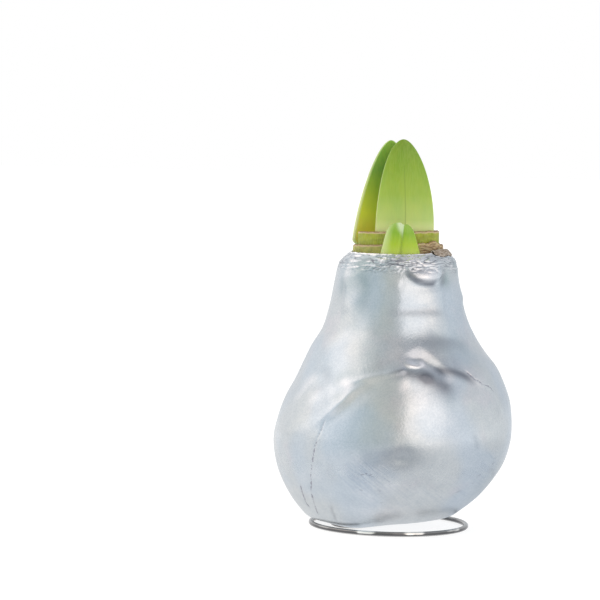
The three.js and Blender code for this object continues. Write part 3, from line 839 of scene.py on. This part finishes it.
def cut_leaf_skin(name, flesh, dry_from, dry_to):
    """Old leaf base: green wall under a thin brown cut, and dry and brown round to the right.

    u is the share of a whole turn from the front, and v counts tens of mm below the cut.
    """
    wall = Finish(name, Roughness=0.6, Subsurface_Weight=0.08, Subsurface_Scale=0.002)
    turn, below = wall.uv()
    fibres = wall.spread(wall.grain(0.45, 3, (1, 1, 8)), 0.3, 0.7)
    patches = wall.spread(wall.grain(3, 3, (1, 1, 0.7)), 0.35, 0.65)
    wall.colour = wall.blend(patches, flesh, (0.72, 0.72, 0.72), "MULTIPLY")
    wall.paint(wall.spread(fibres, 0, 1, 0, 0.3), (0.52, 0.55, 0.16))
    streaks = wall.spread(wall.grain(0.55, 4, (4, 4, 1), seed=1.7), 0.35, 0.65)
    husk = wall.blend(streaks, (0.27, 0.165, 0.08), (0.56, 0.44, 0.25))
    turned = wall.math("ADD", turn, wall.times(streaks, 0.012))
    dry = wall.times(wall.spread(turned, dry_from, dry_to), wall.spread(turned, 0.4, 0.47, 1, 0))
    wall.paint(dry, husk)
    ragged = wall.math("ADD", below, wall.times(streaks, -0.025))
    wall.paint(wall.spread(ragged, 0.045, 0.075, 1, 0), (0.58, 0.47, 0.25))
    wall.paint(wall.spread(ragged, -0.005, 0.025, 0.9, 0), (0.26, 0.14, 0.07))
    return wall.done(wall.blend(dry, fibres, streaks), 0.14, 0.6)


def cut_leaf_bases():
    inner = cut_leaf_skin("green_leaf_base", (0.37, 0.43, 0.02), 0.24, 0.3)
    outer = cut_leaf_skin("dry_leaf_base", (0.5, 0.5, 0.13), 0.06, 0.1)
    leaf_stub("leaf_base_inner", INNER_STUB, inner, "green_leaf_base", "inner_leaf_stub", 21)
    leaf_stub("leaf_base_outer", OUTER_STUB, outer, "dry_leaf_base", "outer_leaf_stub", 31)


# ---- young shoot

SHOOT = {
    "foot_x": 1.3, "top_x": 0.9, "y": -14.4, "top": 121.6, "taper_from": 108.5,
    "foot_half_width": 8, "top_half_width": 4.6, "half_depth": 3,
}
SHOOT_FOLD = ((106, 0.9), (121, 2.2))  # height and x of the fold between the two leaves, low and high
SHOOT_COLUMNS, SHOOT_ROWS = 120, 60
SHOOT_SPAN = 20  # how much of the shoot's width its u covers
SHOOT_GREENS = [
    (0, (0.49, 0.6, 0.1)), (0.35, (0.38, 0.55, 0.012)), (0.7, (0.23, 0.44, 0.015)),
    (1, (0.29, 0.48, 0.07)),
]


def young_shoot():
    """Two young leaves folded together, rounded off at the top."""
    start, top = SHOOT["taper_from"], SHOOT["top"]
    heights = climbing_rows(start, top, SHOOT_ROWS, foot_rows=10, climbed=0.99)
    turn = linspace(-pi, pi, SHOOT_COLUMNS, endpoint=False)
    rise = clip((heights - start) / (top - start), 0, 1)
    rounding = (1 - rise**9) ** 0.5
    half_width = mix(SHOOT["foot_half_width"], SHOOT["top_half_width"], rise) * rounding
    half_depth = SHOOT["half_depth"] * (1 - 0.35 * rise) * rounding
    across, forwards = sin(turn), cos(turn)
    x = mix(SHOOT["foot_x"], SHOOT["top_x"], rise) + half_width * across
    (low, low_x), (high, high_x) = SHOOT_FOLD
    aside = x - mix(low_x, high_x, (heights - low) / (high - low))
    crease = bell(aside / 0.5) + 0.5 * smooth(aside, 0, 0.4) * bell(aside / 2.6)
    folded = np.where(forwards > 0, 1 - 0.3 * crease, 0.85)
    parted = 0.7 * bell(aside / 0.8) * smooth(rise, 0.75, 1)
    points = stack(x, SHOOT["y"] - half_depth * forwards * folded, heights - parted)
    faces = round_faces(*x.shape)
    u = np.append(aside, aside[:, :1], 1) / SHOOT_SPAN + 0.5
    uv = grid_uv(*np.broadcast_arrays(u, rise))
    piece = mesh_object("shoot_leaves", points, faces, shoot_skin(), uv, rest=1)
    finish_piece(piece, "shoot", "young_shoot")


def shoot_skin():
    """Two young leaves, pale at the foot, with whitish skin between their tips and on the left.

    u is 0.5 on the fold and grows by 1 over the span, and v is the share of the taper's height.
    """
    shoot = Finish("shoot", Roughness=0.32, Subsurface_Weight=0.15, Subsurface_Scale=0.004,
                   Subsurface_Radius=(0.5, 1, 0.15))
    across, up = shoot.uv()
    aside = shoot.times(shoot.math("SUBTRACT", across, 0.5), SHOOT_SPAN)
    shoot.colour = shoot.ramp(up, SHOOT_GREENS)
    fibres = shoot.spread(shoot.grain(0.4, 2, (1, 1, 12)), 0.3, 0.7)
    shoot.paint(shoot.spread(fibres, 0, 1, 0, 0.1), (0.55, 0.68, 0.2))
    pale = shoot.times(shoot.spread(aside, -7.6, -3.2, 0.9, 0), shoot.spread(up, 0, 0.9, 0.7, 1))
    shoot.paint(pale, (0.66, 0.74, 0.36))
    between = shoot.times(shoot.spread(aside, -3.4, -1.6), shoot.spread(aside, 0.05, 0.45, 1, 0))
    skin_up = shoot.math("ADD", up, shoot.times(aside, 0.1))
    between = shoot.times(between, shoot.spread(skin_up, 0.5, 0.8, 0, 0.8))
    shoot.paint(between, (0.7, 0.82, 0.55))
    shut = shoot.spread(shoot.math("ABSOLUTE", aside), 0.1, 0.4, 0.35, 0)
    shut = shoot.times(shut, shoot.spread(up, 0.35, 0.6, 1, 0))
    shoot.paint(shut, (0.2, 0.33, 0.03))
    return shoot.done(fibres, 0.05, 0.3)


# ---- scrap of dry skin

TUNIC = {"from": 44, "to": 97, "root": -2.4, "half_thickness": 0.16}
TUNIC_STEPS, TUNIC_ROUTE_STEPS = 150, 26
TUNIC_NOISE_RADIUS = 30


def tunic_remnant():
    """A crumpled sheet that stands in the neck, folds over the rim and hangs down outside."""
    share = linspace(0, 1, TUNIC_STEPS)
    turn = radians(mix(TUNIC["from"], TUNIC["to"], share))
    course = stack(TUNIC_NOISE_RADIUS * turn, 0, 0)
    fall = (0.3 + 1.2 * sin(share * pi) ** 0.5) * (1 + 0.3 * sin(9 * turn))
    fall = fall * (1 + 0.4 * noise_at(course, 1.6, 41))
    crest = 1.4 + 0.2 * sin(13 * turn) + 0.35 * noise_at(course, 1.3, 42)
    crest = crest * (1 - 0.45 * smooth(share, 0.6, 1))
    # Outwards from the rim and up from it, from the root over the crest to the hanging edge
    route = np.array([np.broadcast_arrays(outwards, level, turn)[:2] for outwards, level in [
        (-1.3, TUNIC["root"]), (-1.25, crest * 0.4), (-1.1, crest * 0.9), (-0.6, crest + 0.05),
        (0, 0.5 + crest * 0.5), (0.3, 0.8), (0.45 + fall * 0.4, 0.5 - fall * 0.4),
        (0.4 + fall * 0.8, 0.4 - fall * 0.9),
    ]])
    fine = spline(route.reshape(len(route), -1), linspace(0, 1, TUNIC_ROUTE_STEPS))
    sheet = fine.reshape(TUNIC_ROUTE_STEPS, 2, TUNIC_STEPS).transpose(2, 0, 1)
    slope = unit(np.gradient(sheet, axis=1))
    across = stack(-slope[..., 1], slope[..., 0])
    around = TUNIC_NOISE_RADIUS * turn[:, None]
    crumple = noise_at(stack(around, *np.moveaxis(sheet * 3, -1, 0)), 1.5, 43)
    sheet = sheet + across * (0.14 * crumple)[..., None]
    half = across * TUNIC["half_thickness"]
    loops = np.append(sheet + half, (sheet - half)[:, ::-1], 1)
    points = skin_ring(WAX_OUTLINE[-1], turn[:, None], loops[..., 0], loops[..., 1])
    number = point_numbers(*points.shape[:2])
    faces = grid_faces(*number.shape) + flat_ends(number[0], number[-1])
    piece = mesh_object("dry_skin_scrap", points, faces, dry_skin())
    finish_piece(piece, "dry_skin", "tunic_remnant")


def dry_skin():
    paper = Finish("dry_skin", Roughness=0.8)
    fibres = paper.spread(paper.grain(0.5, 4, (3, 3, 1)), 0.35, 0.65)
    paper.colour = paper.blend(fibres, (0.22, 0.17, 0.12), (0.46, 0.4, 0.34))
    return paper.done(fibres, 0.12, 0.7)


# ---- wire stand

WIRE_SIDES, WIRE_STEPS = 20, 620
WIRE_END_BULGE = 0.4
# Painted glints round the ring
WIRE_GLINTS = 10  # bright places round the ring
# The painted light on the ring is brightest at this turn and opposite
WIRE_GLINT_TURN = radians(18)  # the ring is brightest there and opposite
# Painted shade under the bulb
WIRE_CLEAR = (0.027, 0.029)  # metres from the middle over which the bulb's shade ends


def wire_stand():
    turns = radians(np.arange(140, 461, 20))
    ring = [(RING_X + RING_RADIUS * cos(t), RING_RADIUS * sin(t), 0) for t in turns]
    spiral = [
        (-12.6, 27.2, 0), (-18.6, 21.2, 0), (-21.8, 12, 0), (-22.7, 2, 0), (-22.2, -5, 0),
        (-18.8, -10.2, 0), (-13.2, -10.2, 0), (-8.8, -6.2, 0), (-6.4, -2.2, 1.2), (PRONG_X, 0, 4.5),
        (PRONG_X, 0, 11), (PRONG_X, 0, PRONG_TOP - WIRE_RADIUS),
    ]
    route = spline(np.array(ring + spiral), linspace(0, 1, WIRE_STEPS))
    route[:, 2] = np.maximum(route[:, 2], 0) + WIRE_RADIUS
    tangent = unit(np.gradient(route, axis=0))
    side = np.cross(tangent, (0, 0, 1))
    side[np.linalg.norm(side, axis=1) < 0.2] = (0, -1, 0)
    side = unit(side - tangent * (side * tangent).sum(1, keepdims=True))
    other = np.cross(side, tangent)
    angle = linspace(0, 2 * pi, WIRE_SIDES, endpoint=False)[None, :, None]
    section = WIRE_RADIUS * (side[:, None] * cos(angle) + other[:, None] * sin(angle))

    def rounded(end, outwards, angles):
        bulge = tangent[end] * outwards * WIRE_RADIUS * WIRE_END_BULGE
        return [route[end] + section[end] * cos(a) + bulge * sin(a) for a in angles]

    start, end = rounded(0, -1, (1.2, 0.6)), rounded(-1, 1, (0.6, 1.2))
    points = np.concatenate([start, route[:, None] + section, end])
    faces = round_faces(len(points), WIRE_SIDES)
    finish_piece(mesh_object("wire_ring", points, faces, plated_wire()), "wire", "wire_stand")


def plated_wire():
    """Drawn wire with painted light: light on its crown, dark round its sides, and painted glints.

    The painted light is duller at the left and right of the ring, with painted shade where the bulb stands
    over it.
    """
    wire = Finish("wire", Metallic=1)
    draw = wire.grain(0.4, 2)
    up = wire.axes(wire.node("NewGeometry", {}, "Normal"))[2]
    place = wire.place()
    turn = wire.turn(*wire.axes(place)[:2])
    wave = wire.math("COSINE", wire.times(turn, WIRE_GLINTS))
    patches = wire.spread(wire.grain(7, 2, seed=2), 0.38, 0.56, 0.35, 1)
    facing = wire.math("COSINE", wire.math("SUBTRACT", turn, WIRE_GLINT_TURN))
    glint_facing = wire.spread(wire.math("ABSOLUTE", facing), 0.45, 0.75, 0.3, 1)
    bright = wire.times(wire.spread(wave, -0.8, 0.1, 1, 0), wire.times(patches, glint_facing))
    lit = wire.math("ADD", up, wire.times(bright, 0.5))
    crown = wire.times(wire.spread(lit, 0.2, 0.7), wire.spread(bright, 0, 1, 0.24, 1))
    crown = wire.times(crown, wire.spread(wire.length(place), *WIRE_CLEAR, 0.3, 1))
    # painted light on the wire's underside
    belly = wire.spread(up, -0.8, -0.3, 0.55, 0)
    painted_light = wire.math("MAXIMUM", crown, belly)
    wire.colour = wire.blend(painted_light, (0.12, 0.12, 0.125), (0.97, 0.96, 0.93))
    wire.wear("Roughness", wire.spread(draw, 0.3, 0.7, 0.14, 0.26))
    return wire.done(draw, 0.01, 0.3)


# ---- floor, light and camera

CAMERA_PLACE = Vector((-0.6, -1188.32, 167.01)) * MM
CAMERA_AIM = Vector((-38.03, 0, 89.25)) * MM
CAMERA_LENS = 180
CAMERA_ROLL = radians(1.4)


def camera():
    data = bpy.data.cameras.new("camera")
    data.lens = CAMERA_LENS
    data.sensor_width = 36
    data.clip_end = 20
    back = (CAMERA_PLACE - CAMERA_AIM).normalized()
    level = Vector((0, 0, 1)).cross(back).normalized()
    upwards = back.cross(level)
    right = level * cos(CAMERA_ROLL) + upwards * sin(CAMERA_ROLL)
    up = back.cross(right)
    made = add_object("camera", data)
    made.matrix_world = Matrix.Translation(CAMERA_PLACE) @ Matrix((right, up, back)).transposed().to_4x4()
    bpy.context.scene.camera = made


# Colours of the room round the bulb, from the ground upwards: degrees from the front towards the
# right, and radiance. The first of each row also stands at 180.
ROOM_GROUND = [
    (-180, (0.7, 0.73, 0.76)), (-150, (1, 1, 1)), (-80, (1, 1, 1)), (-50, (0.85, 0.9, 0.93)),
    (-20, (0.72, 0.75, 0.72)), (6, (0.72, 0.72, 0.7)), (16, (1.25, 1.2, 1.15)), (36, (1.28, 1.23, 1.2)),
    (56, (1.1, 1.08, 1.08)), (100, (1.02, 1.03, 1.03)), (150, (0.8, 0.82, 0.84)),
]
ROOM_LOW = [
    (-180, (0.7, 0.73, 0.76)), (-160, (0.95, 0.96, 0.98)), (-106, (1.2, 1.18, 1.15)),
    (-78, (1.45, 1.38, 1.32)), (-58, (1.1, 1.12, 1.13)), (-38, (0.83, 0.89, 0.9)),
    (-20, (0.77, 0.79, 0.73)), (4, (0.78, 0.76, 0.71)), (9.5, (1.46, 1.35, 1.28)),
    (26, (1.54, 1.42, 1.33)), (46, (1.58, 1.45, 1.36)), (58, (1.12, 1.1, 1.1)), (78, (1, 1.01, 1.01)),
    (102, (0.94, 0.96, 0.98)), (150, (0.8, 0.82, 0.85)),
]
ROOM_MIDDLE = [
    (-180, (0.8, 0.82, 0.85)), (-155, (1.45, 1.37, 1.3)), (-80, (1.52, 1.41, 1.33)),
    (-60, (1.42, 1.34, 1.27)), (-44, (0.84, 0.88, 0.87)), (-20, (0.74, 0.76, 0.71)),
    (4.5, (0.74, 0.72, 0.7)), (11, (1.4, 1.3, 1.22)), (42, (1.42, 1.31, 1.23)), (60, (0.88, 0.88, 0.9)),
    (90, (0.82, 0.84, 0.87)), (150, (0.78, 0.8, 0.83)),
]
ROOM_HIGH = [
    (-180, (0.75, 0.76, 0.78)), (-155, (1.45, 1.37, 1.3)), (-95, (1.52, 1.41, 1.33)),
    (-62, (1.04, 1.04, 1.02)), (-42, (0.86, 0.88, 0.87)), (-20, (0.68, 0.68, 0.66)),
    (5, (0.58, 0.57, 0.56)), (60, (0.55, 0.56, 0.59)), (90, (0.68, 0.68, 0.72)),
    (120, (0.75, 0.76, 0.8)),
]
ROOM_TOP = (0.68, 0.68, 0.7)
# Heights on the unit sphere over which each row of colours gives way to the next
ROOM_CHANGES = ((0, 0.16), (0.4, 0.6), (0.7, 0.82), (0.93, 0.995))


def room_colour(nodes, x, y, stops):
    """The room's colour on the side that x and y point to."""
    around = nodes.math("ADD", nodes.math("DIVIDE", nodes.turn(x, y), 2 * pi), 0.5)
    whole = stops + [(180, stops[0][1])]
    return nodes.ramp(around, [(at / 360 + 0.5, colour) for at, colour in whole])


FLOOR_REACH = 6000
FLOOR_NEAR = [
    (-180, (0.8, 0.81, 0.83)), (-110, (1.02, 1.01, 1)), (-45, (1, 1, 1)), (0, (0.96, 0.96, 0.97)),
    (40, (0.92, 0.93, 0.94)), (70, (0.86, 0.87, 0.89)), (130, (0.76, 0.78, 0.8)),
]
# Colour of the painted shadow on the floor
FLOOR_PAINTED_SHADOW = (0.55, 0.57, 0.6)
# Distances from the middle, in metres, over which the floor's painted shadow at the front sets in and ends
FLOOR_SHADED, FLOOR_LIT = (0.045, 0.12), (0.08, 0.45)
# Half widths in degrees between which that shade fades out, and its middle
FLOOR_SHADED_TURN = (6, 44)
FLOOR_SHADED_MIDDLE = 4


def floor():
    """A white floor, which glows. What the wax mirrors of it is painted: room colours, with a painted
    shadow just before the bulb.
    """
    paint = Finish("floor", Roughness=0.9, Emission_Strength=1)
    place = paint.place()
    x, y, _ = paint.axes(place)
    away = paint.length(place)
    turn = paint.apart(paint.turn(x, y), radians(FLOOR_SHADED_MIDDLE))
    front = paint.spread(turn, *radians(FLOOR_SHADED_TURN), 1, 0)
    shaded = paint.times(paint.spread(away, *FLOOR_SHADED), front)
    mirrored = paint.blend(shaded, room_colour(paint, x, y, FLOOR_NEAR), FLOOR_PAINTED_SHADOW)
    mirrored = paint.blend(paint.spread(away, *FLOOR_LIT), mirrored, room_colour(paint, x, y, ROOM_GROUND))
    seen = paint.node("LightPath", {}, "Is Camera Ray")
    paint.wear("Emission Color", paint.blend(seen, mirrored, (0.8, 0.8, 0.8)))
    paint.wear("Base Color", paint.blend(seen, (0, 0, 0), (0.3, 0.3, 0.3)))
    points = [(x * FLOOR_REACH, y * FLOOR_REACH, 0) for x, y in ((-1, -1), (1, -1), (1, 1), (-1, 1))]
    mesh_object("floor", points, [(0, 1, 2, 3)], paint.material)


# name, turn from the front towards the right, elevation, distance, size in metres, radiance
SOFT_BOXES = [
    ("front_right_box", 25, 20, 1.4, (0.85, 1.1), 0.05),
    ("left_box", -100, 48, 1.2, (1.6, 0.9), 0.05),
]


def area_light(name, turn, elevation, distance, size, radiance):
    """A rectangle that faces the bulb."""
    data = bpy.data.lights.new(name, "AREA")
    data.shape = "RECTANGLE"
    data.size, data.size_y = size
    data.energy = radiance * pi * size[0] * size[1]
    a, e = radians(turn), radians(elevation)
    out = Vector((sin(a) * cos(e), -cos(a) * cos(e), sin(e)))
    made = add_object(name, data)
    made.location = Vector((0, 0, 0.07)) + out * distance
    made.rotation_euler = out.to_track_quat("Z", "Y").to_euler()


def studio():
    """Pale room with large soft lights at the left and at the front right, white to the camera."""
    scene = bpy.context.scene
    scene.view_settings.view_transform = "Standard"
    scene.world = bpy.data.worlds.new("studio")
    scene.world.use_nodes = True
    room = Nodes(scene.world.node_tree)
    x, y, z = room.axes(room.node("TexCoord", {}, "Generated"))
    colour = room_colour(room, x, y, ROOM_GROUND)
    for change, stops in zip(ROOM_CHANGES, (ROOM_LOW, ROOM_MIDDLE, ROOM_HIGH)):
        colour = room.blend(room.spread(z, *change), colour, room_colour(room, x, y, stops))
    colour = room.blend(room.spread(z, *ROOM_CHANGES[-1]), colour, ROOM_TOP)
    seen = room.node("LightPath", {}, "Is Camera Ray")
    room.feed(room.tree.nodes["Background"].inputs["Color"], room.blend(seen, colour, (1, 1, 1)))
    for box in SOFT_BOXES:
        area_light(*box)


camera()
studio()
floor()
wax_coat()
bulb_flesh()
tall_leaves()
cut_leaf_bases()
young_shoot()
tunic_remnant()
wire_stand()
